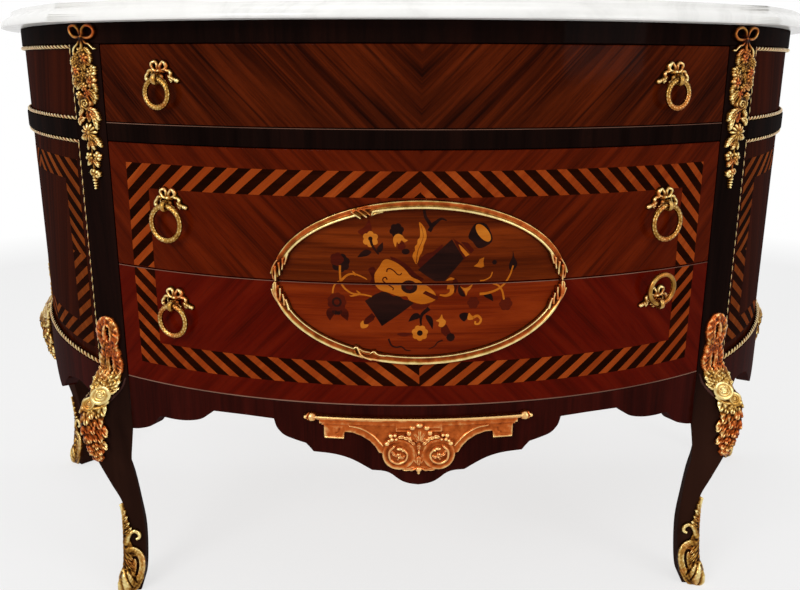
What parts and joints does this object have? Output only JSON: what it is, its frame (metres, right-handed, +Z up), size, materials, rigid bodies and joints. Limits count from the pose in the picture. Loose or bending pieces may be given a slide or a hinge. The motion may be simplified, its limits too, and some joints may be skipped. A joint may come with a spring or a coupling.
{
  "type": "commode chest",
  "caption": "Marble-topped commode with a bowed front, swelling sides, sliding drawers, marquetry, gilt mounts and swinging ring pulls on cabriole legs.",
  "frame": {"origin": "on the floor, under the middle of the marble top's length and depth", "axes": "+X to the right as seen from the front, +Y towards the back, +Z up; the front faces -Y"},
  "size_m": [1.481, 0.629, 0.8908],
  "materials": {
    "marble": "polished white marble",
    "black_wood": "gloss, nearly black brown",
    "dark_veneer": "gloss, dark red-brown veneer",
    "veneer": "gloss, figured red-brown veneer with marquetry",
    "plain_wood": "plain, matt",
    "gilt": "gilt, satin",
    "copper_gilt": "coppery gilt, satin"
  },
  "bodies": {
    "carcase": {"apron_front": "dark_veneer", "apron_left": "black_wood", "apron_mount": "copper_gilt", "apron_right": "black_wood", "back_panel": "plain_wood", "bottom_board": "plain_wood", "dust_board": "plain_wood", "garland_left": "gilt", "garland_right": "gilt", "gilt_bead_left": "gilt", "gilt_bead_right": "gilt", "knee_mount_front_left": "gilt", "knee_mount_front_right": "gilt", "knee_mount_rear_left": "gilt", "knee_mount_rear_right": "gilt", "marble_top": "marble", "mid_rail": "black_wood", "post_front_left": "black_wood", "post_front_right": "black_wood", "post_rear_left": "black_wood", "post_rear_right": "black_wood", "runner_frame": "plain_wood", "sabot_front_left": "gilt", "sabot_front_right": "gilt", "sabot_rear_left": "gilt", "sabot_rear_right": "gilt", "side_band_left": "black_wood", "side_band_right": "black_wood", "side_panel_left": "veneer", "side_panel_right": "veneer", "top_frame": "black_wood"},
    "drawer_top": {"drawer_top_back": "plain_wood", "drawer_top_bottom": "plain_wood", "drawer_top_front": "veneer", "drawer_top_side_left": "plain_wood", "drawer_top_side_right": "plain_wood", "pull_plate_top_left": "gilt", "pull_plate_top_right": "gilt"},
    "drawer_middle": {"drawer_middle_back": "plain_wood", "drawer_middle_bottom": "plain_wood", "drawer_middle_front": "veneer", "drawer_middle_side_left": "plain_wood", "drawer_middle_side_right": "plain_wood", "oval_frame_upper": "gilt", "pull_plate_middle_left": "gilt", "pull_plate_middle_right": "gilt"},
    "drawer_bottom": {"drawer_bottom_back": "plain_wood", "drawer_bottom_bottom": "plain_wood", "drawer_bottom_front": "veneer", "drawer_bottom_side_left": "plain_wood", "drawer_bottom_side_right": "plain_wood", "oval_frame_lower": "gilt", "pull_plate_bottom_left": "gilt", "pull_plate_bottom_right": "gilt"},
    "ring_top_left": {"pull_ring_top_left": "gilt"},
    "ring_top_right": {"pull_ring_top_right": "gilt"},
    "ring_middle_left": {"pull_ring_middle_left": "gilt"},
    "ring_middle_right": {"pull_ring_middle_right": "gilt"},
    "ring_bottom_left": {"pull_ring_bottom_left": "gilt"},
    "ring_bottom_right": {"pull_ring_bottom_right": "gilt"}
  },
  "joints": [
    {"name": "drawer_top_slide", "type": "slide", "parent": "carcase", "child": "drawer_top", "axis": [0, -1, 0], "range_m": [0, 0.32]},
    {"name": "drawer_middle_slide", "type": "slide", "parent": "carcase", "child": "drawer_middle", "axis": [0, -1, 0], "range_m": [0, 0.32]},
    {"name": "drawer_bottom_slide", "type": "slide", "parent": "carcase", "child": "drawer_bottom", "axis": [0, -1, 0], "range_m": [0, 0.32]},
    {"name": "ring_top_left_swing", "type": "hinge", "parent": "drawer_top", "child": "ring_top_left", "pos_m": [-0.34318, -0.22395, 0.7923], "axis": [-0.9069, 0.4214, 0], "range_deg": [0, 184]},
    {"name": "ring_top_right_swing", "type": "hinge", "parent": "drawer_top", "child": "ring_top_right", "pos_m": [0.34318, -0.22395, 0.7923], "axis": [-0.9069, -0.4214, 0], "range_deg": [0, 184]},
    {"name": "ring_middle_left_swing", "type": "hinge", "parent": "drawer_middle", "child": "ring_middle_left", "pos_m": [-0.34318, -0.22395, 0.6258], "axis": [-0.9069, 0.4214, 0], "range_deg": [0, 184]},
    {"name": "ring_middle_right_swing", "type": "hinge", "parent": "drawer_middle", "child": "ring_middle_right", "pos_m": [0.34318, -0.22395, 0.6258], "axis": [-0.9069, -0.4214, 0], "range_deg": [0, 184]},
    {"name": "ring_bottom_left_swing", "type": "hinge", "parent": "drawer_bottom", "child": "ring_bottom_left", "pos_m": [-0.34318, -0.22395, 0.4857], "axis": [-0.9069, 0.4214, 0], "range_deg": [0, 184]},
    {"name": "ring_bottom_right_swing", "type": "hinge", "parent": "drawer_bottom", "child": "ring_bottom_right", "pos_m": [0.34318, -0.22395, 0.4857], "axis": [-0.9069, -0.4214, 0], "range_deg": [-184, 0]}
  ]
}
